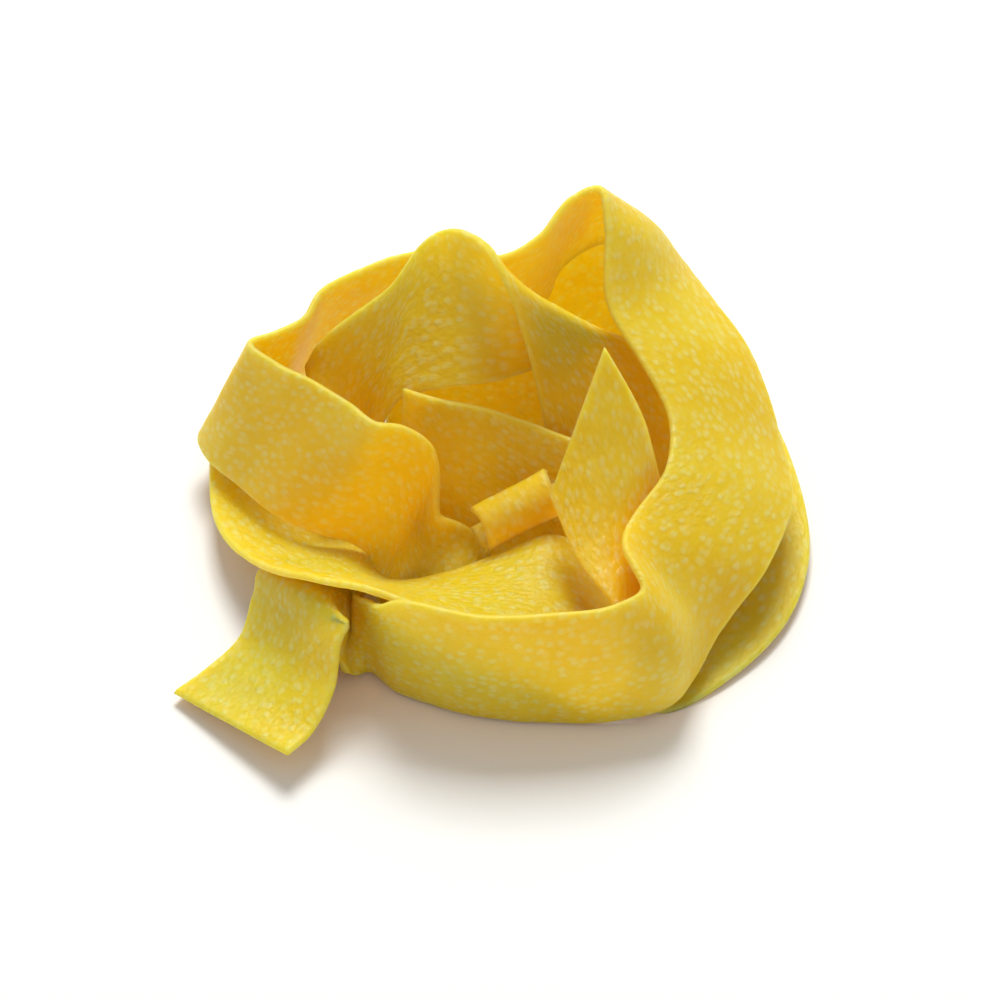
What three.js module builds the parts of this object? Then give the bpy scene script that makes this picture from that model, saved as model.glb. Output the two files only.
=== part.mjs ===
// Dry pasta nest: broad flat egg ribbons wound loosely into a nest.
// Units are millimetres, +Z is up, the nest rests on z = 0.
import * as THREE from 'three';

// ---------------------------------------------------------------- sizes
const RIBBON_WIDTH = 20.5;     // across one ribbon, edge to edge
const RIBBON_THICK = 1.0;      // dried dough thickness
const SECTION_STEP = 2.6;      // spacing of the cross-sections along a ribbon
const COLUMNS = 5;             // points across a cross-section
const CURL_RADIUS = 2.6;       // mid-thickness radius of the rolled end
const CURL_TURN = 300;         // degrees of roll
const CURL_LENGTH = 10.5;      // front length of the roll along its axis
const CURL_OVERHANG = 2.6;     // how much longer the back of the roll is
const CURL_SHORT_SIDE = 60;    // degrees round to the roll's shortest side
const CURL_STEPS = 16;         // spacings round the roll
const CURL_SPANS = 4;          // spacings along the roll
const MEASURE_POINTS = 60;     // points per station when a route is measured
const PASTA_COLOR = 0xdcbc38;
const PASTA_ROUGHNESS = 0.6;

// ---------------------------------------------------------------- routes
// A ribbon is a flat strip carried along a route. Each station is
// [x, y, z, bearing, rise, bow, width]: the middle of the strip, the way its
// width points (bearing in plan, rise above level, in degrees, from the
// lower edge to the upper one), how far it cups outwards, and, only where it
// is pinched under another ribbon, a smaller width.
const OUTER = [
  [-34.5, -34.6, 3.2, 139, -10, 0],
  [-30.6, -30.0, 3.2, 136, -13, 0],
  [-27.4, -25.4, 5.0, 131, -20, 0],
  [-26.2, -21.5, 8.8, 128, -22, 0],
  [-25.1, -19.4, 11.1, 127, -19, 1],
  [-23.4, -18.2, 10.1, 112, -21, 2, 17],
  [-21.2, -17.9, 8.0, 92, -20, 3, 14],
  [-19.5, -19.8, 6.0, 76, 8, 2, 12],
  [-18.9, -22.2, 6.5, 80, 60, 0, 11],
  [-16.6, -24.6, 8.7, -60, 82, 0, 15.5],
  [-12.9, -27.9, 10.4, -90, 85, 1, 20],
  [-3.0, -31.4, 10.6, -90, 88, 1.5],
  [7.0, -31.8, 10.6, 90, 88, 1.5],
  [14.6, -31.2, 10.8, 90, 84, 2],
  [20.6, -28.8, 11.4, 131, 72, 3.5],
  [22.0, -20.8, 13.6, 172, 52, 1],
  [26.2, -13.0, 14.8, 180, 32, 1],
  [30.0, -4.0, 15.2, -168, 32, 1],
  [29.8, 4.5, 16.2, -158, 36, 1],
  [26.4, 12.6, 21.0, -150, 28, 1],
  [20.8, 20.8, 25.6, -138, 28, 1.5],
  [18.0, 28.0, 29.8, -120, 45, 3],
  [13.3, 31.3, 30.2, -90, 65, 2],
  [8.8, 29.6, 28.0, -80, 70, 0],
  [5.2, 25.5, 24.8, -90, 72, 0],
  [0.0, 23.2, 22.8, -90, 75, 0],
  [-11.0, 25.2, 21.5, -90, 75, 0],
  [-19.0, 23.8, 19.5, -75, 75, 0],
  [-24.8, 21.6, 17.5, -55, 75, 0],
  [-28.0, 17.6, 16.5, -35, 72, 0],
  [-32.5, 15.2, 16.0, -20, 68, 0],
  [-36.3, 12.6, 15.8, -9, 68, 0],
  [-34.0, 8.2, 16.2, 4, 62, 0],
  [-29.6, 4.0, 16.6, 12, 59, 0],
  [-24.7, -0.9, 16.9, 20, 58, 0],
  [-19.9, -4.0, 16.4, 18, 67, 0],
  [-15.9, -3.9, 15.0, 25, 68, 0],
  [-12.8, -4.3, 11.4, 29, 63, 0],
  [-11.9, -7.9, 5.2, 45, 38, -5, 18],
  [-8.4, -12.6, 3.2, 56, 12, -1],
  [-4.4, -15.4, 2.4, 72, 6, 0]
];
const LOWER = [
  [-25.5, 21.5, 4.2, -35, 6, 0],
  [-28.4, 15.0, 3.8, -14, 2, 0],
  [-28.7, 8.0, 3.4, 5, -5, 0],
  [-28.0, 0.6, 3.9, 18, -12, 0],
  [-25.4, -6.3, 5.3, 40, -25, 0],
  [-20.8, -13.1, 9.2, 70, -38, 0, 19.6],
  [-15.7, -17.9, 11.0, 80, -45, 0, 19],
  [-8.5, -19.5, 11.2, 88, -36, 0],
  [0.0, -19.8, 11.2, 92, -18, 0],
  [7.5, -19.0, 10.4, 94, 2, 0],
  [12.6, -18.8, 6.4, 102, 6, 0],
  [17.2, -21.0, 1.9, 114, 8, 0],
  [22.8, -17.6, 2.0, 134, 6, 0],
  [28.2, -11.5, 2.2, 152, 4, 0],
  [30.8, -3.5, 2.6, 170, 4, 0],
  [30.2, 6.0, 3.4, -165, 6, 0],
  [28.0, 17.0, 5.0, -145, 15, 0],
  [25.5, 27.5, 8.0, -135, 35, 0],
  [20.0, 36.4, 9.7, -118, 60, 0],
  [16.0, 36.8, 10.4, -108, 88, 0],
  [11.5, 36.3, 10.6, 82, 78, 0],
  [5.5, 34.3, 10.4, 88, 66, 0]
];
const DOME = [
  [-24.4, 6.2, 13.9, 100, 28, 0, 18.5],
  [-20.2, 9.8, 16.5, 108, 60, 0],
  [-15.6, 10.6, 22.8, 80, 58, 0],
  [-11.4, 12.6, 28.8, 79, 50, 0],
  [-5.3, 13.1, 30.8, 99, 47, 0],
  [-0.5, 12.6, 31.1, 126, 68, 0],
  [3.8, 12.6, 31.5, 180, 63, 0],
  [7.5, 12.5, 30.7, -163, 45, 0],
  [10.5, 11.7, 25.7, -165, 35, 0],
  [12.9, 9.5, 20.0, -171, 29, 0],
  [14.4, 6.0, 13.5, -174, 21, 0, 18.5],
  [14.5, 4.0, 9.0, -175, 19, 0, 17.5]
];
const FLAP = [
  [9.9, -3.7, 27.0, 59, 49, 0],
  [13.8, -9.5, 21.6, 62, 30, 0],
  [17.5, -14.8, 15.8, 72, 5, 0],
  [19.2, -18.0, 12.8, 74, 2, 0]
];
const CORE = [
  [-12.8, 1.4, 14.7, 87, 72, 0],
  [-8.2, 1.3, 12.7, 87, 71, 0],
  [-3.0, 0.8, 11.4, 85, 68, 0],
  [1.9, -0.8, 10.2, 80, 62, 0],
  [7.1, -3.1, 9.1, 75, 55, 0],
  [10.0, -4.2, 8.8, 72, 53, 0]
];
const INNER = [
  [-15.0, 17.2, 8.3, 78, 45, 0],
  [-8.0, 16.6, 8.2, 88, 46, 0],
  [0.0, 16.2, 8.2, 92, 46, 0],
  [8.0, 16.4, 8.2, 98, 46, 0],
  [14.5, 17.4, 8.2, 112, 43, 0]
];
// the rolled end: the left end of its axis, and the way the axis points
const CURL = { start: [-1.7, -6.8, 10.3], bearing: 15, rise: 26, mouth: -150 };

// ---------------------------------------------------------------- vectors
const rad = d => d * Math.PI / 180;
const add = (a, b, k = 1) => a.map((v, i) => v + b[i] * k);
const dot = (a, b) => a[0] * b[0] + a[1] * b[1] + a[2] * b[2];
const cross = (a, b) => [
  a[1] * b[2] - a[2] * b[1], a[2] * b[0] - a[0] * b[2], a[0] * b[1] - a[1] * b[0]];
const unit = a => { const l = Math.sqrt(dot(a, a)); return a.map(v => v / l); };
const pointing = (bearing, rise) => [
  Math.cos(rad(rise)) * Math.cos(rad(bearing)),
  Math.cos(rad(rise)) * Math.sin(rad(bearing)),
  Math.sin(rad(rise))];

// Smooth curve through the stations: a cubic Hermite with centripetal knots.
function smoothRoute(stations) {
  const rows = stations.map(s => [s[0], s[1], s[2], ...pointing(s[3], s[4]), s[5],
    s[6] === undefined ? RIBBON_WIDTH : s[6]]);
  const knot = [0];
  for (let i = 1; i < rows.length; i++) {
    const d = [0, 1, 2].map(k => rows[i][k] - rows[i - 1][k]);
    knot.push(knot[i - 1] + Math.sqrt(Math.sqrt(dot(d, d))));
  }
  const last = rows.length - 1;
  const slope = (i, k) => (rows[i + 1][k] - rows[i][k]) / (knot[i + 1] - knot[i]);
  const tangent = rows.map((r, i) => r.map((_, k) => {
    if (i === 0) return slope(0, k);
    if (i === last) return slope(last - 1, k);
    const before = knot[i] - knot[i - 1], after = knot[i + 1] - knot[i];
    return (slope(i - 1, k) * after + slope(i, k) * before) / (before + after);
  }));
  const at = t => {
    let i = 0;
    while (i < last - 1 && t > knot[i + 1]) i++;
    const h = knot[i + 1] - knot[i], u = (t - knot[i]) / h;
    return rows[i].map((_, k) =>
      (2 * u ** 3 - 3 * u ** 2 + 1) * rows[i][k] + (u ** 3 - 2 * u ** 2 + u) * h * tangent[i][k]
      + (-2 * u ** 3 + 3 * u ** 2) * rows[i + 1][k] + (u ** 3 - u ** 2) * h * tangent[i + 1][k]);
  };
  return { at, end: knot[last] };
}

// Rows of mid-thickness points across the ribbon, evenly spaced along it.
function ribbonRows(stations) {
  const { at, end } = smoothRoute(stations);
  const fine = MEASURE_POINTS * stations.length, ts = [0], run = [0];
  let previous = at(0);
  for (let i = 1; i <= fine; i++) {
    const point = at(end * i / fine);
    const d = [0, 1, 2].map(k => point[k] - previous[k]);
    ts.push(end * i / fine);
    run.push(run[i - 1] + Math.sqrt(dot(d, d)));
    previous = point;
  }
  const sections = Math.max(2, Math.round(run[fine] / SECTION_STEP));
  const route = [];
  for (let s = 0, i = 0; s <= sections; s++) {
    const want = run[fine] * s / sections;
    while (i < fine - 1 && run[i + 1] < want) i++;
    const part = (want - run[i]) / (run[i + 1] - run[i]);
    route.push(at(ts[i] + (ts[i + 1] - ts[i]) * part));
  }
  return route.map((r, s) => {
    const before = route[Math.max(s - 1, 0)], after = route[Math.min(s + 1, sections)];
    const along = unit([0, 1, 2].map(k => after[k] - before[k]));
    const across = unit(r.slice(3, 6));
    const out = unit(cross(along, across));
    const bow = r[6], width = r[7], chord = width - 8 * bow ** 2 / (3 * width);
    return Array.from({ length: COLUMNS }, (_, c) => {
      const q = c / (COLUMNS - 1) - 0.5;
      return add(add(r.slice(0, 3), across, q * chord), out, bow * (2 / 3 - 4 * q * q));
    });
  });
}

// Rows of mid-thickness points round the rolled end; its back runs on further.
function curlRows() {
  const axis = pointing(CURL.bearing, CURL.rise);
  const side = unit(cross([0, 0, 1], axis)), top = cross(axis, side);
  const rows = [];
  for (let i = 0; i <= CURL_STEPS; i++) {
    const angle = rad(CURL.mouth + CURL_TURN * i / CURL_STEPS);
    const round = add(side.map(v => v * -Math.cos(angle)), top, Math.sin(angle));
    const back = (1 - Math.cos(angle - rad(CURL_SHORT_SIDE))) / 2;
    rows.push(Array.from({ length: CURL_SPANS + 1 }, (_, j) => {
      const from = -CURL_OVERHANG * back;
      const along = from + (CURL_LENGTH - from) * j / CURL_SPANS;
      return add(add(CURL.start, axis, along), round, CURL_RADIUS);
    }));
  }
  return rows;
}

// Gives rows of mid-thickness points their thickness, as one closed body.
function thicken(rows) {
  const n = rows.length, m = rows[0].length, half = RIBBON_THICK / 2;
  const normal = (i, j) => {
    const a = rows[Math.min(i + 1, n - 1)][j], b = rows[Math.max(i - 1, 0)][j];
    const c = rows[i][Math.min(j + 1, m - 1)], d = rows[i][Math.max(j - 1, 0)];
    return unit(cross(add(a, b, -1), add(c, d, -1)));
  };
  const front = [], rear = [];
  for (let i = 0; i < n; i++) {
    for (let j = 0; j < m; j++) {
      const out = normal(i, j);
      const lift = p => [p[0], p[1], Math.max(p[2], 0)];
      front.push(lift(add(rows[i][j], out, half)));
      rear.push(lift(add(rows[i][j], out, -half)));
    }
  }
  const points = [...front, ...rear], off = front.length, faces = [];
  const id = (i, j) => i * m + j;
  for (let i = 0; i < n - 1; i++) {
    for (let j = 0; j < m - 1; j++) {
      const [a, b, c, d] = [id(i, j), id(i + 1, j), id(i + 1, j + 1), id(i, j + 1)];
      faces.push(a, b, c, a, c, d);
      faces.push(a + off, c + off, b + off, a + off, d + off, c + off);
    }
  }
  const rim = [];
  for (let i = 0; i < n - 1; i++) rim.push(id(i, 0));
  for (let j = 0; j < m - 1; j++) rim.push(id(n - 1, j));
  for (let i = n - 1; i > 0; i--) rim.push(id(i, m - 1));
  for (let j = m - 1; j > 0; j--) rim.push(id(0, j));
  rim.forEach((a, k) => {
    const b = rim[(k + 1) % rim.length];
    faces.push(a, b + off, b, a, a + off, b + off);
  });
  return { points, faces };
}

// ---------------------------------------------------------------- the nest
const bodies = {
  outer_ribbon: thicken(ribbonRows(OUTER)),
  lower_ribbon: thicken(ribbonRows(LOWER)),
  dome_ribbon: thicken(ribbonRows(DOME)),
  flap_ribbon: thicken(ribbonRows(FLAP)),
  core_ribbon: thicken(ribbonRows(CORE)),
  inner_ribbon: thicken(ribbonRows(INNER)),
  curl_ribbon: thicken(curlRows())
};
const everyPoint = Object.values(bodies).flatMap(b => b.points);
const low = [0, 1, 2].map(k => Math.min(...everyPoint.map(p => p[k])));
const high = [0, 1, 2].map(k => Math.max(...everyPoint.map(p => p[k])));
const shift = [-(low[0] + high[0]) / 2, -(low[1] + high[1]) / 2, -low[2]];

const group = new THREE.Group();
group.name = 'pasta_nest';
for (const [name, body] of Object.entries(bodies)) {
  const geometry = new THREE.BufferGeometry();
  const positions = body.points.flatMap(p => add(p, shift));
  geometry.setAttribute('position', new THREE.Float32BufferAttribute(positions, 3));
  geometry.setIndex(body.faces);
  geometry.computeVertexNormals();
  const material = new THREE.MeshStandardMaterial({ color: PASTA_COLOR, roughness: PASTA_ROUGHNESS });
  const mesh = new THREE.Mesh(geometry, material);
  mesh.name = name;
  group.add(mesh);
}

export default group;
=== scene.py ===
# %% [markdown]
# # A dry pasta nest
# The real thing is a handful of broad, flat egg ribbons, wound round the fingers while
# soft and left to dry as a loose nest. Each ribbon is a strip about 20 mm wide and 1 mm
# thick that twists, cups and folds on its way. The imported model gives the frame: its
# solids are plain facetted strips. This lesson lays a fine strip over each of them, with
# thinned rims and a floury grain, and finishes them as translucent dried dough.

import bpy
import numpy as np
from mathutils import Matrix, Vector, noise


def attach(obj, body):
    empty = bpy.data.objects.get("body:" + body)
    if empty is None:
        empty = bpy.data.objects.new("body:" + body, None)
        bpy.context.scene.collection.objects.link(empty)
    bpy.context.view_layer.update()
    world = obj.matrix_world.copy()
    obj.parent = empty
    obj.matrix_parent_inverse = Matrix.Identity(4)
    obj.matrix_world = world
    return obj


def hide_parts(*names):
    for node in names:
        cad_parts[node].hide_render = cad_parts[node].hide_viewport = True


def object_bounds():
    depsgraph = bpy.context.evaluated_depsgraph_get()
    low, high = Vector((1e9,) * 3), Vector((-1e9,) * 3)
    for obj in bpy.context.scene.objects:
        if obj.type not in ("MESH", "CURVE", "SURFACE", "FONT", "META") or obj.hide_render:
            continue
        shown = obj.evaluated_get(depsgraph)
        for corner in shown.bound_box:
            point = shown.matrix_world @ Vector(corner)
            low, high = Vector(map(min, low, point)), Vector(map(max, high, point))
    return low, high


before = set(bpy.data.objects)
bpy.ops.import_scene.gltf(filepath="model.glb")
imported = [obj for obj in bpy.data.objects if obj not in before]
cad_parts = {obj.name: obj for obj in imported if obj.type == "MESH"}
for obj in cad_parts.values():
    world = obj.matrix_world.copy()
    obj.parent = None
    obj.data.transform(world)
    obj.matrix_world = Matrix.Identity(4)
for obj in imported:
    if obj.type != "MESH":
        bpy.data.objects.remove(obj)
cad_low, cad_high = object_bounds()
scene = bpy.context.scene
print("nodes:", sorted(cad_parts))

# %% [markdown]
# ## Sizes
# Blender works in metres, but a cook's measures are millimetres, so the nest is made in
# millimetres and scaled once, at the end, when a mesh is written.

# %% Driving sizes, in millimetres
MM = 0.001
RIBBON_WIDTH = 20.5
RIBBON_THICK = 1.0
CAD_STEP = 2.6          # how coarse the frame's own strips are
CAD_COLUMNS = 5
FINE_STEP = 0.45        # spacing of the fine strip's points
RIM_ROUND = 0.45        # how far in from a rim the dough thins
CURL_RADIUS = 2.6
CURL_TURN = 300
CURL_LENGTH = 10.5
CURL_OVERHANG = 2.6
CURL_SHORT_SIDE = 60
CURL_START = (-1.7, -6.8, 10.3)
CURL_BEARING, CURL_RISE, CURL_MOUTH = 15, 26, -150
CAD_CURL_GRID = (16, 4)  # steps round the roll and along it in the frame's own roll
FINE_CURL_GRID = (36, 30)
MEASURE_POINTS = 60      # places per station at which a route's length is measured

# %% [markdown]
# ## The routes of the ribbons
# A ribbon could be a curve with a flat bevel, but a curve twists where it likes. A list
# of stations says both where the middle of the strip is and which way its width points:
# [x, y, z, bearing, rise, bow, width]. Bearing and rise are degrees, from the lower edge
# of the strip to its upper one, and bow is how far the strip cups outwards. The width is
# only given where it isn't the full one. These are the routes of the solids in the frame,
# so the fine strips lie where the frame has them. One station of the lower ribbon is the
# exception: it is 22 mm wide here and 19.6 mm in the frame, to close a gap to the floor.

# %% The long ribbon: tail, front band, right flare, back loop and left fold
OUTER = [
    [-34.5, -34.6, 3.2, 139, -10, 0],
    [-30.6, -30.0, 3.2, 136, -13, 0],
    [-27.4, -25.4, 5.0, 131, -20, 0],
    [-26.2, -21.5, 8.8, 128, -22, 0],
    [-25.1, -19.4, 11.1, 127, -19, 1],
    [-23.4, -18.2, 10.1, 112, -21, 2, 17],
    [-21.2, -17.9, 8.0, 92, -20, 3, 14],
    [-19.5, -19.8, 6.0, 76, 8, 2, 12],
    [-18.9, -22.2, 6.5, 80, 60, 0, 11],
    [-16.6, -24.6, 8.7, -60, 82, 0, 15.5],
    [-12.9, -27.9, 10.4, -90, 85, 1, 20],
    [-3.0, -31.4, 10.6, -90, 88, 1.5],
    [7.0, -31.8, 10.6, 90, 88, 1.5],
    [14.6, -31.2, 10.8, 90, 84, 2],
    [20.6, -28.8, 11.4, 131, 72, 3.5],
    [22.0, -20.8, 13.6, 172, 52, 1],
    [26.2, -13.0, 14.8, 180, 32, 1],
    [30.0, -4.0, 15.2, -168, 32, 1],
    [29.8, 4.5, 16.2, -158, 36, 1],
    [26.4, 12.6, 21.0, -150, 28, 1],
    [20.8, 20.8, 25.6, -138, 28, 1.5],
    [18.0, 28.0, 29.8, -120, 45, 3],
    [13.3, 31.3, 30.2, -90, 65, 2],
    [8.8, 29.6, 28.0, -80, 70, 0],
    [5.2, 25.5, 24.8, -90, 72, 0],
    [0.0, 23.2, 22.8, -90, 75, 0],
    [-11.0, 25.2, 21.5, -90, 75, 0],
    [-19.0, 23.8, 19.5, -75, 75, 0],
    [-24.8, 21.6, 17.5, -55, 75, 0],
    [-28.0, 17.6, 16.5, -35, 72, 0],
    [-32.5, 15.2, 16.0, -20, 68, 0],
    [-36.3, 12.6, 15.8, -9, 68, 0],
    [-34.0, 8.2, 16.2, 4, 62, 0],
    [-29.6, 4.0, 16.6, 12, 59, 0],
    [-24.7, -0.9, 16.9, 20, 58, 0],
    [-19.9, -4.0, 16.4, 18, 67, 0],
    [-15.9, -3.9, 15.0, 25, 68, 0],
    [-12.8, -4.3, 11.4, 29, 63, 0],
    [-11.9, -7.9, 5.2, 45, 38, -5, 18],
    [-8.4, -12.6, 3.2, 56, 12, -1],
    [-4.4, -15.4, 2.4, 72, 6, 0],
]
print("long ribbon:", len(OUTER), "stations")

# %% The lower ribbon, which the nest rests on
LOWER = [
    [-25.5, 21.5, 4.2, -35, 6, 0],
    [-28.4, 15.0, 3.8, -14, 2, 0],
    [-28.7, 8.0, 3.4, 5, -5, 0],
    [-28.0, 0.6, 3.9, 18, -12, 0],
    [-25.4, -6.3, 5.3, 40, -25, 0],
    [-20.8, -13.1, 9.2, 70, -38, 0, 22.0],
    [-15.7, -17.9, 11.0, 80, -45, 0, 19],
    [-8.5, -19.5, 11.2, 88, -36, 0],
    [0.0, -19.8, 11.2, 92, -18, 0],
    [7.5, -19.0, 10.4, 94, 2, 0],
    [12.6, -18.8, 6.4, 102, 6, 0],
    [17.2, -21.0, 1.9, 114, 8, 0],
    [22.8, -17.6, 2.0, 134, 6, 0],
    [28.2, -11.5, 2.2, 152, 4, 0],
    [30.8, -3.5, 2.6, 170, 4, 0],
    [30.2, 6.0, 3.4, -165, 6, 0],
    [28.0, 17.0, 5.0, -145, 15, 0],
    [25.5, 27.5, 8.0, -135, 35, 0],
    [20.0, 36.4, 9.7, -118, 60, 0],
    [16.0, 36.8, 10.4, -108, 88, 0],
    [11.5, 36.3, 10.6, 82, 78, 0],
    [5.5, 34.3, 10.4, 88, 66, 0],
]
print("lower ribbon:", len(LOWER), "stations")

# %% The short ribbons inside the nest
DOME = [
    [-24.4, 6.2, 13.9, 100, 28, 0, 18.5],
    [-20.2, 9.8, 16.5, 108, 60, 0],
    [-15.6, 10.6, 22.8, 80, 58, 0],
    [-11.4, 12.6, 28.8, 79, 50, 0],
    [-5.3, 13.1, 30.8, 99, 47, 0],
    [-0.5, 12.6, 31.1, 126, 68, 0],
    [3.8, 12.6, 31.5, 180, 63, 0],
    [7.5, 12.5, 30.7, -163, 45, 0],
    [10.5, 11.7, 25.7, -165, 35, 0],
    [12.9, 9.5, 20.0, -171, 29, 0],
    [14.4, 6.0, 13.5, -174, 21, 0, 18.5],
    [14.5, 4.0, 9.0, -175, 19, 0, 17.5],
]
FLAP = [
    [9.9, -3.7, 27.0, 59, 49, 0],
    [13.8, -9.5, 21.6, 62, 30, 0],
    [17.5, -14.8, 15.8, 72, 5, 0],
    [19.2, -18.0, 12.8, 74, 2, 0],
]
CORE = [
    [-12.8, 1.4, 14.7, 87, 72, 0],
    [-8.2, 1.3, 12.7, 87, 71, 0],
    [-3.0, 0.8, 11.4, 85, 68, 0],
    [1.9, -0.8, 10.2, 80, 62, 0],
    [7.1, -3.1, 9.1, 75, 55, 0],
    [10.0, -4.2, 8.8, 72, 53, 0],
]
INNER = [
    [-15.0, 17.2, 8.3, 78, 45, 0],
    [-8.0, 16.6, 8.2, 88, 46, 0],
    [0.0, 16.2, 8.2, 92, 46, 0],
    [8.0, 16.4, 8.2, 98, 46, 0],
    [14.5, 17.4, 8.2, 112, 43, 0],
]
ROUTES = {"outer_ribbon": OUTER, "lower_ribbon": LOWER, "dome_ribbon": DOME,
          "flap_ribbon": FLAP, "core_ribbon": CORE, "inner_ribbon": INNER}
print("ribbons:", list(ROUTES))

# %% [markdown]
# ## From stations to a smooth strip
# The stations are joined by a cubic curve whose knots are spaced by the square root of
# the distance between them. That spacing never makes a loop or a cusp where two stations
# are close, as a plain spline can. Everything in a station is carried along, so the strip
# turns and cups as smoothly as it travels.


# %% A smooth curve through the stations
def pointing(bearing, rise):
    """Unit vectors for bearings and rises in degrees."""
    b, r = np.radians(bearing), np.radians(rise)
    return np.stack([np.cos(r) * np.cos(b), np.cos(r) * np.sin(b), np.sin(r)], axis=-1)


def station_rows(stations):
    """Stations as rows of x, y, z, the three parts of the width's way, bow and width."""
    full = np.array([list(s) + [RIBBON_WIDTH] * (7 - len(s)) for s in stations], float)
    return np.hstack([full[:, :3], pointing(full[:, 3], full[:, 4]), full[:, 5:7]])


def smooth_route(rows, where=None):
    """Values of the curve at the knots' own measure; with no place given, its length."""
    gaps = np.linalg.norm(np.diff(rows[:, :3], axis=0), axis=1)
    knot = np.concatenate([[0], np.cumsum(np.sqrt(gaps))])
    if where is None:
        return knot[-1]
    step = np.diff(knot)[:, None]
    slope = np.diff(rows, axis=0) / step
    middle = (slope[:-1] * step[1:] + slope[1:] * step[:-1]) / (step[:-1] + step[1:])
    tangent = np.vstack([slope[:1], middle, slope[-1:]])
    i = np.clip(np.searchsorted(knot, where) - 1, 0, len(rows) - 2)
    h = step[i]
    u = (where[:, None] - knot[i][:, None]) / h
    return ((2 * u**3 - 3 * u**2 + 1) * rows[i] + (u**3 - 2 * u**2 + u) * h * tangent[i]
            + (3 * u**2 - 2 * u**3) * rows[i + 1] + (u**3 - u**2) * h * tangent[i + 1])


print("knot length of the long ribbon: %.1f" % smooth_route(station_rows(OUTER)))


# %% [markdown]
# ## Cross-sections
# Across the route the strip is a shallow arc. Its width stays that of the flat dough, so
# the straight line between its edges gets shorter as it cups. The same function makes the
# frame's coarse strip and the fine one, which is how the fine one is set in place: the
# frame was centred on its own coarse points.


# %% Points across a ribbon, in evenly spaced rows
def run_along(points):
    """How far along a row of points each one is."""
    return np.concatenate([[0], np.cumsum(np.linalg.norm(np.diff(points, axis=0), axis=1))])


def strip_rows(stations, step, across):
    """Mid-thickness points, rows along the ribbon and columns at the places in across."""
    rows = station_rows(stations)
    fine = np.linspace(0, smooth_route(rows), MEASURE_POINTS * len(stations) + 1)
    path = smooth_route(rows, fine)
    run = run_along(path[:, :3])
    even = np.interp(np.linspace(0, run[-1], max(2, round(run[-1] / step)) + 1), run, fine)
    path = smooth_route(rows, even)
    middle, width_way = path[:, :3], path[:, 3:6]
    width_way = width_way / np.linalg.norm(width_way, axis=1)[:, None]
    out = np.cross(np.gradient(middle, axis=0), width_way)
    out /= np.linalg.norm(out, axis=1)[:, None]
    bow, width = path[:, 6:7], path[:, 7:8]
    chord = width - 8 * bow**2 / (3 * width)
    places = np.asarray(across)[None, :]
    sideways = (places * chord)[:, :, None] * width_way[:, None, :]
    bulge = (bow * (2 / 3 - 4 * places**2))[:, :, None] * out[:, None, :]
    return middle[:, None, :] + sideways + bulge


# %% Points round the rolled end
def curl_rows(turn_steps, length_steps):
    """The rolled end of a strip: rows round the roll, columns along its axis."""
    axis = pointing(CURL_BEARING, CURL_RISE)
    side = np.cross([0, 0, 1], axis)
    side /= np.linalg.norm(side)
    top = np.cross(axis, side)
    angle = np.radians(CURL_MOUTH + CURL_TURN * np.linspace(0, 1, turn_steps + 1))
    around = -np.cos(angle)[:, None] * side + np.sin(angle)[:, None] * top
    start = -CURL_OVERHANG * (1 - np.cos(angle - np.radians(CURL_SHORT_SIDE))) / 2
    along = start[:, None] + (CURL_LENGTH - start[:, None]) * np.linspace(0, 1, length_steps + 1)
    return np.array(CURL_START) + along[:, :, None] * axis + CURL_RADIUS * around[:, None, :]


def surface_normals(points):
    """A unit normal at each point of a grid."""
    normal = np.cross(np.gradient(points, axis=0), np.gradient(points, axis=1))
    return normal / (np.linalg.norm(normal, axis=2, keepdims=True) + 1e-12)


# %% Where the frame put the nest
coarse = [strip_rows(r, CAD_STEP, np.linspace(-0.5, 0.5, CAD_COLUMNS)) for r in ROUTES.values()]
coarse.append(curl_rows(*CAD_CURL_GRID))
faces_of_coarse = [(g + s * RIBBON_THICK / 2 * surface_normals(g)).reshape(-1, 3)
                   for g in coarse for s in (1, -1)]
coarse_points = np.vstack(faces_of_coarse)
coarse_points[:, 2] = np.maximum(coarse_points[:, 2], 0)
nest_low, nest_high = coarse_points.min(axis=0), coarse_points.max(axis=0)
nest_shift = -(nest_low + nest_high) / 2
nest_shift[2] = -nest_low[2]
print("shift, mm:", nest_shift.round(2), " CAD size, mm:",
      [round((b - a) / MM, 1) for a, b in zip(cad_low, cad_high)])

# %% [markdown]
# ## Dough, not sheet metal
# Rolled dough thins at its rims, ripples a little as it dries, and its faces are pitted
# like fine sandpaper. Displacement in a material would be lost outside this scene, so the
# ripple and the pits are moved into the mesh, from Blender's own noise functions.


# %% Columns that crowd towards the rims
def rim_columns(width):
    """Places across a strip, closer together where the rim rounds off."""
    rim = np.array([0, 0.06, 0.16, 0.3, RIM_ROUND])
    inside = np.linspace(RIM_ROUND, width - RIM_ROUND, round(width / FINE_STEP))[1:-1]
    return np.concatenate([rim, inside, width - rim[::-1]]) / width - 0.5


def rim_thickness(distance):
    """Share of the full thickness at a distance in from a rim: a quarter round."""
    in_from_rim = np.clip(distance / RIM_ROUND, 0, 1)
    return np.sqrt(np.clip(1 - (1 - in_from_rim) ** 2, 0, 1))


print("columns across a ribbon:", len(rim_columns(RIBBON_WIDTH)))


# %% Noise over a grid of points
def noise_grid(points, size, seed):
    """Smooth noise from -1 to 1 at each point, with lumps about size millimetres wide."""
    flat = points.reshape(-1, 3) / size + seed
    values = [noise.noise(Vector(p)) for p in flat]
    return np.array(values).reshape(points.shape[:-1])


print("noise at the origin: %.3f" % noise.noise(Vector((0.3, 0.2, 0.1))))

# %% [markdown]
# ## One closed strip
# The two faces share their outermost points, so the strip is closed with no wall of its
# own along the rim. Each point also remembers where on the flat dough it was: how far
# along, how far across, and how near the rim. The finish reads those, so its specks and
# streaks follow the strip round every turn.


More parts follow.
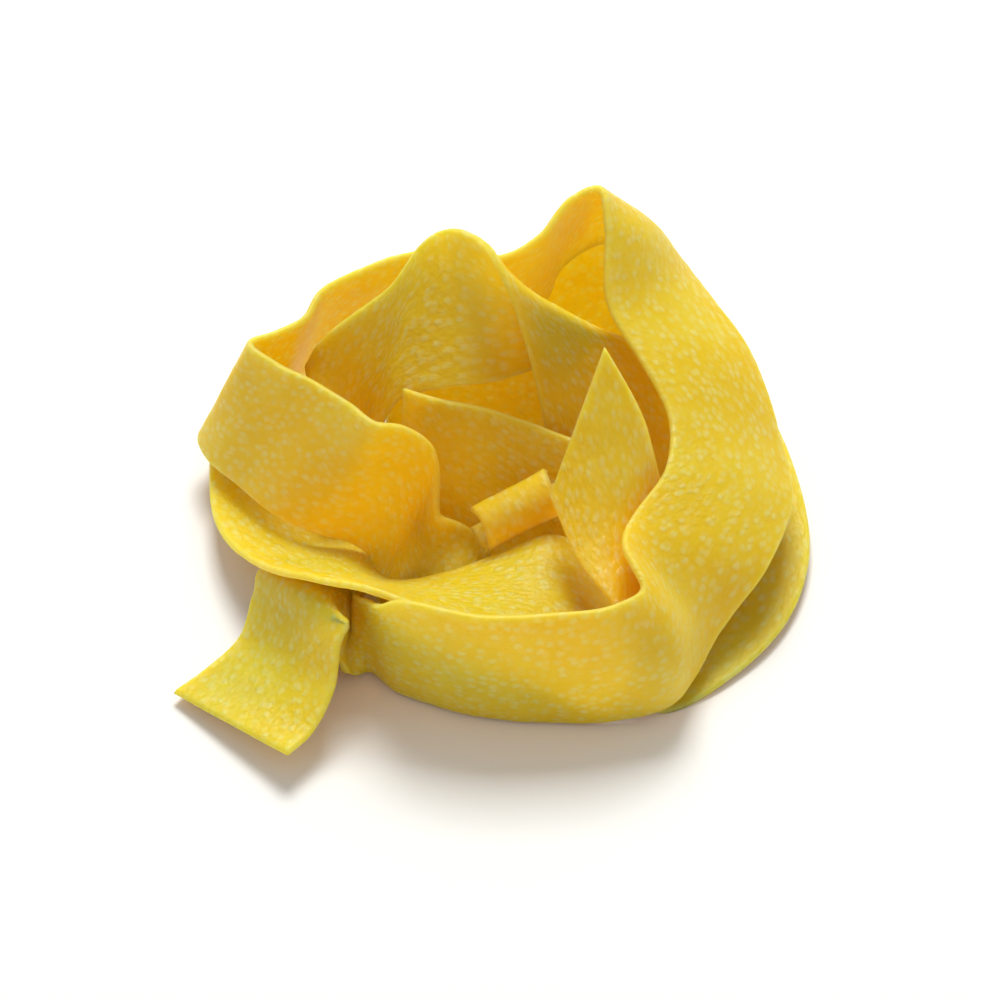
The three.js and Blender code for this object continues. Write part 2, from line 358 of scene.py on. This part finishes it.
# %% Ripple and pits: height and width of the lumps, in millimetres
RIPPLE = (0.16, 5.5)
FINE_PITS = (0.055, 0.9)
BROAD_PITS = (0.05, 2.2)
PITTED_ABOVE = 0.3      # half thickness above which a face is pitted
FACE_APART = 40.0       # sets the noise of the two faces apart
STRIP_SEED, CURL_SEED = 13.7, 91.3
print("ripple and pits, mm:", RIPPLE, FINE_PITS, BROAD_PITS)


# %% A closed mesh from a grid of mid-thickness points
def dough_strip(name, grid, seed):
    """A thin closed body over the grid, with its flat-dough places stored on it."""
    n, m = grid.shape[:2]
    along, across = run_along(grid[:, m // 2]), run_along(grid[n // 2])
    to_side = np.minimum(across, across[-1] - across)[None, :]
    to_end = np.minimum(along, along[-1] - along)[:, None]
    thick = rim_thickness(np.minimum(to_side, to_end)) * RIBBON_THICK / 2
    normal = surface_normals(grid)
    ripple = RIPPLE[0] * noise_grid(grid, RIPPLE[1], seed)
    middle = grid + normal * ripple[:, :, None]
    pitted = thick > PITTED_ABOVE
    faces_mm, spots = [], []
    for side in (1, -1):
        pits = FINE_PITS[0] * noise_grid(middle, FINE_PITS[1], seed + 7 * side) * pitted
        pits += BROAD_PITS[0] * noise_grid(middle, BROAD_PITS[1], seed + 3 * side) * pitted
        faces_mm.append(middle + side * normal * (thick + pits)[:, :, None])
        place = np.broadcast_arrays(along[:, None], across[None, :], side * FACE_APART)
        spots.append(np.stack(place, axis=-1))
    edge = np.broadcast_to(np.minimum(to_side, to_end), (n, m))
    return closed_mesh(name, faces_mm, spots, edge)


# %% Writing the mesh
def closed_mesh(name, faces_mm, spots, edge):
    """Joins the two faces at their shared rim and writes the Blender mesh."""
    n, m = edge.shape
    index = np.arange(n * m).reshape(n, m)
    rim = np.zeros((n, m), bool)
    rim[0], rim[-1], rim[:, 0], rim[:, -1] = True, True, True, True
    back = index.copy()
    back[~rim] = n * m + np.arange((~rim).sum())
    front_points = faces_mm[0].reshape(-1, 3)
    front_points[rim.ravel()] = (faces_mm[0][rim] + faces_mm[1][rim]) / 2
    points = np.vstack([front_points, faces_mm[1][~rim]]) + nest_shift
    points = np.clip(points * MM, cad_low, cad_high)
    quad = np.stack([index[:-1, :-1], index[1:, :-1], index[1:, 1:], index[:-1, 1:]], -1)
    rear = np.stack([back[:-1, :-1], back[:-1, 1:], back[1:, 1:], back[1:, :-1]], -1)
    quads = np.vstack([quad.reshape(-1, 4), rear.reshape(-1, 4)])
    mesh = bpy.data.meshes.new(name)
    mesh.from_pydata(points.tolist(), [], quads.tolist())
    flat = np.vstack([spots[0].reshape(-1, 3), spots[1][~rim]])
    rims = np.concatenate([edge.ravel(), edge[~rim]])
    flat_place = mesh.attributes.new("dough_place", "FLOAT_VECTOR", "POINT")
    flat_place.data.foreach_set("vector", flat.ravel())
    rim_place = mesh.attributes.new("rim_distance", "FLOAT", "POINT")
    rim_place.data.foreach_set("value", rims)
    mesh.shade_smooth()
    return mesh


# %% Laying every strip over its solid
strips = {}
for order, (node, stations) in enumerate(ROUTES.items()):
    grid = strip_rows(stations, FINE_STEP, rim_columns(RIBBON_WIDTH))
    strips[node] = dough_strip(node.replace("_ribbon", "_strip"), grid, order * STRIP_SEED)
strips["curl_ribbon"] = dough_strip("curl_strip", curl_rows(*FINE_CURL_GRID), CURL_SEED)
pieces = {}
for node, mesh in strips.items():
    piece = bpy.data.objects.new(mesh.name, mesh)
    scene.collection.objects.link(piece)
    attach(piece, "root")
    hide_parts(node)
    pieces[node] = piece
    print(node, "has", len(mesh.polygons), "faces")

# %% [markdown]
# ## The finish of dried egg dough
# Dried dough is a deep yellow that light sinks into, with paler grains of semolina spread
# through it. Its rims are painted paler too: a painted highlight that stands in for the light
# shining through the thin dough there. The grains could be painted, but a pattern on the
# dough's own flat places gives them without a picture. The grain and the rim highlight are
# one node group with named inputs, so every strip has the same dough.


# %% A node group for semolina grains and the painted rim highlight
def link(tree, start, end):
    tree.links.new(start, end)


def grain_and_highlight_group():
    """Masks over the dough: pale grains, slow clouds and a painted highlight along the thin rims."""
    tree = bpy.data.node_groups.new("semolina_grain_and_rim_highlight", "ShaderNodeTree")
    tree.interface.new_socket("Grains per mm", in_out="INPUT", socket_type="NodeSocketFloat")
    tree.interface.new_socket("Rim width", in_out="INPUT", socket_type="NodeSocketFloat")
    for title in ("Grains", "Clouds", "Rim highlight", "Pits"):
        tree.interface.new_socket(title, in_out="OUTPUT", socket_type="NodeSocketFloat")
    entry = tree.nodes.new("NodeGroupInput")
    leave = tree.nodes.new("NodeGroupOutput")
    place = tree.nodes.new("ShaderNodeAttribute")
    place.attribute_name = "dough_place"
    stretch = tree.nodes.new("ShaderNodeVectorMath")
    stretch.operation = "MULTIPLY"
    stretch.inputs[1].default_value = (0.85, 1.0, 1.0)
    link(tree, place.outputs["Vector"], stretch.inputs[0])
    size = tree.nodes.new("ShaderNodeVectorMath")
    size.operation = "SCALE"
    link(tree, stretch.outputs[0], size.inputs[0])
    link(tree, entry.outputs["Grains per mm"], size.inputs["Scale"])
    grains = granules(tree, size.outputs[0])
    pits = masked_noise(tree, size.outputs[0], 1.7, 1.5, 0.3, 0.75)
    clouds = masked_noise(tree, place.outputs["Vector"], 0.11, 2.0, 0.36, 0.68)
    link(tree, grains, leave.inputs["Grains"])
    link(tree, pits, leave.inputs["Pits"])
    link(tree, clouds, leave.inputs["Clouds"])
    # The rim mask lays a painted highlight along the thin rims, for light shining through them.
    rim = tree.nodes.new("ShaderNodeAttribute")
    rim.attribute_name = "rim_distance"
    near = tree.nodes.new("ShaderNodeMapRange")
    near.inputs["To Min"].default_value = 1.0
    near.inputs["To Max"].default_value = 0.0
    link(tree, rim.outputs["Fac"], near.inputs["Value"])
    link(tree, entry.outputs["Rim width"], near.inputs["From Max"])
    link(tree, near.outputs[0], leave.inputs["Rim highlight"])
    return tree


# %% Round granules
def granules(tree, vector):
    """Soft round spots, one in each Voronoi cell, some strong and some faint."""
    wobble = tree.nodes.new("ShaderNodeTexNoise")
    wobble.inputs["Scale"].default_value = 1.7
    wobble.inputs["Detail"].default_value = 1.0
    link(tree, vector, wobble.inputs["Vector"])
    sway = tree.nodes.new("ShaderNodeVectorMath")
    sway.operation = "MULTIPLY_ADD"
    sway.inputs[1].default_value = (0.5, 0.5, 0.5)
    link(tree, wobble.outputs["Color"], sway.inputs[0])
    link(tree, vector, sway.inputs[2])
    cells = tree.nodes.new("ShaderNodeTexVoronoi")
    cells.voronoi_dimensions = "2D"
    cells.inputs["Scale"].default_value = 1.0
    link(tree, sway.outputs[0], cells.inputs["Vector"])
    spot = tree.nodes.new("ShaderNodeMapRange")
    spot.interpolation_type = "SMOOTHSTEP"
    spot.inputs["From Min"].default_value = 0.6
    spot.inputs["From Max"].default_value = 0.1
    link(tree, cells.outputs["Distance"], spot.inputs["Value"])
    share = tree.nodes.new("ShaderNodeSeparateColor")
    link(tree, cells.outputs["Color"], share.inputs[0])
    strong = tree.nodes.new("ShaderNodeMapRange")
    strong.inputs["From Min"].default_value = -0.1
    strong.inputs["From Max"].default_value = 1.0
    link(tree, share.outputs[0], strong.inputs["Value"])
    product = tree.nodes.new("ShaderNodeMath")
    product.operation = "MULTIPLY"
    link(tree, spot.outputs[0], product.inputs[0])
    link(tree, strong.outputs[0], product.inputs[1])
    return product.outputs[0]


# %% Noise cut to a mask
def masked_noise(tree, vector, scale, detail, low, high):
    """Noise at a scale, spread so that low is 0 and high is 1."""
    lumps = tree.nodes.new("ShaderNodeTexNoise")
    lumps.inputs["Scale"].default_value = scale
    lumps.inputs["Detail"].default_value = detail
    link(tree, vector, lumps.inputs["Vector"])
    spread = tree.nodes.new("ShaderNodeMapRange")
    spread.interpolation_type = "SMOOTHSTEP"
    spread.inputs["From Min"].default_value = low
    spread.inputs["From Max"].default_value = high
    link(tree, lumps.outputs["Fac"], spread.inputs["Value"])
    return spread.outputs[0]


semolina = grain_and_highlight_group()
print("group made:", semolina.name)

# %% [markdown]
# ## Light that sinks in
# A strip one millimetre thick glows when light falls on its far side. Subsurface
# scattering does that on a closed body: red light travels farthest, then green, and blue
# hardly at all, so the glow turns from yellow to orange where more dough is in the way.
# A share of the light stays on the surface, where the grains of semolina show pale.


# %% Colours of the dough
DOUGH_DEEP = (0.985, 0.52, 0.004, 1)
DOUGH_LIGHT = (0.985, 0.58, 0.025, 1)
GRAIN_PALE = (1.0, 0.72, 0.24, 1)
# The pale rim colour is painted light: a highlight for light shining through the thin rims.
RIM_HIGHLIGHT_PALE = (0.97, 0.69, 0.13, 1)
CLOUD_SHARE, GRAIN_SHARE, RIM_HIGHLIGHT_SHARE = 0.8, 0.6, 0.4
print("deep dough:", DOUGH_DEEP[:3])


# %% Measures of the finish, in millimetres where they are lengths
GRAINS_PER_MM = 0.82
# How far in from a rim the painted rim highlight reaches, in millimetres.
RIM_HIGHLIGHT_WIDTH = 0.9
SINK_DEPTH = 8.0                    # how deep red light sinks in
SINK_SHARES = (1.0, 0.62, 0.14)     # how deep each colour sinks, against the red
PIT_DEPTH = 0.14
print("light sinks in %.0f mm" % SINK_DEPTH)


# %% The dough material
def colour_mix(tree, base, over, share, amount):
    """base with over laid on it by a mask and an amount."""
    strength = tree.nodes.new("ShaderNodeMath")
    strength.operation = "MULTIPLY"
    strength.inputs[1].default_value = amount
    link(tree, share, strength.inputs[0])
    blend = tree.nodes.new("ShaderNodeMix")
    blend.data_type = "RGBA"
    link(tree, strength.outputs[0], blend.inputs["Factor"])
    if isinstance(base, tuple):
        blend.inputs[6].default_value = base
    else:
        link(tree, base, blend.inputs[6])
    blend.inputs[7].default_value = over
    return blend.outputs[2]


def dough_material():
    material = bpy.data.materials.new("dried_egg_dough")
    material.use_nodes = True
    tree = material.node_tree
    shader = tree.nodes["Principled BSDF"]
    masks = tree.nodes.new("ShaderNodeGroup")
    masks.node_tree = semolina
    masks.inputs["Grains per mm"].default_value = GRAINS_PER_MM
    masks.inputs["Rim width"].default_value = RIM_HIGHLIGHT_WIDTH
    colour = colour_mix(tree, DOUGH_DEEP, DOUGH_LIGHT, masks.outputs["Clouds"], CLOUD_SHARE)
    colour = colour_mix(tree, colour, GRAIN_PALE, masks.outputs["Grains"], GRAIN_SHARE)
    # Paler rims: a painted highlight for the light that shines through the thin dough.
    colour = colour_mix(tree, colour, RIM_HIGHLIGHT_PALE, masks.outputs["Rim highlight"], RIM_HIGHLIGHT_SHARE)
    link(tree, colour, shader.inputs["Base Color"])
    shader.inputs["Roughness"].default_value = 0.5
    shader.inputs["Specular IOR Level"].default_value = 0.35
    shader.inputs["Subsurface Weight"].default_value = 0.85
    shader.inputs["Subsurface Radius"].default_value = SINK_SHARES
    shader.inputs["Subsurface Scale"].default_value = SINK_DEPTH * MM
    bump = tree.nodes.new("ShaderNodeBump")
    bump.inputs["Strength"].default_value = 0.6
    bump.inputs["Distance"].default_value = PIT_DEPTH * MM
    relief = tree.nodes.new("ShaderNodeMath")
    link(tree, masks.outputs["Pits"], relief.inputs[0])
    link(tree, masks.outputs["Grains"], relief.inputs[1])
    link(tree, relief.outputs[0], bump.inputs["Height"])
    link(tree, bump.outputs["Normal"], shader.inputs["Normal"])
    return material


dough = dough_material()
for piece in pieces.values():
    piece.data.materials.append(dough)
print("strips finished:", len(pieces))

# %% [markdown]
# ## A white table
# The floor is plain and pale, and large enough that its edge is never seen. It isn't part
# of the nest.

# %% The floor
FLOOR_HALF = 3.0
TABLE_WHITE = (0.96, 0.965, 0.93, 1)
floor_mesh = bpy.data.meshes.new("table_top")
corners = [(-1, -1), (1, -1), (1, 1), (-1, 1)]
floor_mesh.from_pydata([(x * FLOOR_HALF, y * FLOOR_HALF, 0) for x, y in corners], [], [(0, 1, 2, 3)])
floor = bpy.data.objects.new("table_top", floor_mesh)
scene.collection.objects.link(floor)
paint = bpy.data.materials.new("white_table")
paint.use_nodes = True
table_shader = paint.node_tree.nodes["Principled BSDF"]
table_shader.inputs["Base Color"].default_value = TABLE_WHITE
table_shader.inputs["Roughness"].default_value = 0.9
table_shader.inputs["Specular IOR Level"].default_value = 0.0
floor_mesh.materials.append(paint)
print("floor is", 2 * FLOOR_HALF, "m wide")

# %% [markdown]
# ## Soft studio light
# One large lamp stands behind and above the nest, so that its rims light up and its
# shadow falls towards the viewer. A bright even surround fills the shadows.


# %% Lamps and surround
def lamp(name, place_mm, aim_mm, width_mm, power):
    """A square area lamp that points at a place."""
    data = bpy.data.lights.new(name, "AREA")
    data.size = width_mm * MM
    data.energy = power
    thing = bpy.data.objects.new(name, data)
    thing.location = Vector(place_mm) * MM
    way = Vector(aim_mm) * MM - thing.location
    thing.rotation_euler = way.to_track_quat("-Z", "Y").to_euler()
    scene.collection.objects.link(thing)
    return thing


SKY_LIGHT = 0.46
LAMP_AWAY = 900
LAMP_UP = 60
LAMP_WIDTH = 380
LAMP_WATTS = 6.9
lamp_rise = np.radians(LAMP_UP)
back_place = (0, LAMP_AWAY * np.cos(lamp_rise), LAMP_AWAY * np.sin(lamp_rise))
lamp("back_lamp", back_place, (0, 0, 0), LAMP_WIDTH, LAMP_WATTS)
world = bpy.data.worlds.new("studio")
world.use_nodes = True
surround = world.node_tree.nodes["Background"]
surround.inputs["Color"].default_value = (1, 1, 1, 1)
surround.inputs["Strength"].default_value = SKY_LIGHT
scene.world = world
scene.view_settings.view_transform = "Standard"

# %% [markdown]
# ## The camera
# The viewer looks down at the nest from 48 degrees, from far enough away that the near
# side is hardly larger than the far one.

# %% Camera
VIEW_RISE = 48
VIEW_AWAY = 600
FRAME_WIDTH = 1000 / 7.5        # millimetres of the nest's plane across the frame
FRAME_RISE = 0.04               # share of the frame by which the nest sits low in it
camera_data = bpy.data.cameras.new("camera")
camera_data.sensor_width = 36
camera_data.lens = camera_data.sensor_width * VIEW_AWAY / FRAME_WIDTH
camera_data.shift_y = FRAME_RISE
camera_data.clip_start = 0.01
camera = bpy.data.objects.new("camera", camera_data)
view_way = Vector((0, -np.cos(np.radians(VIEW_RISE)), np.sin(np.radians(VIEW_RISE))))
camera.location = (Vector(nest_shift) + view_way * VIEW_AWAY) * MM
camera.rotation_euler = (-view_way).to_track_quat("-Z", "Y").to_euler()
scene.collection.objects.link(camera)
scene.camera = camera
print("lens: %.0f mm" % camera_data.lens)
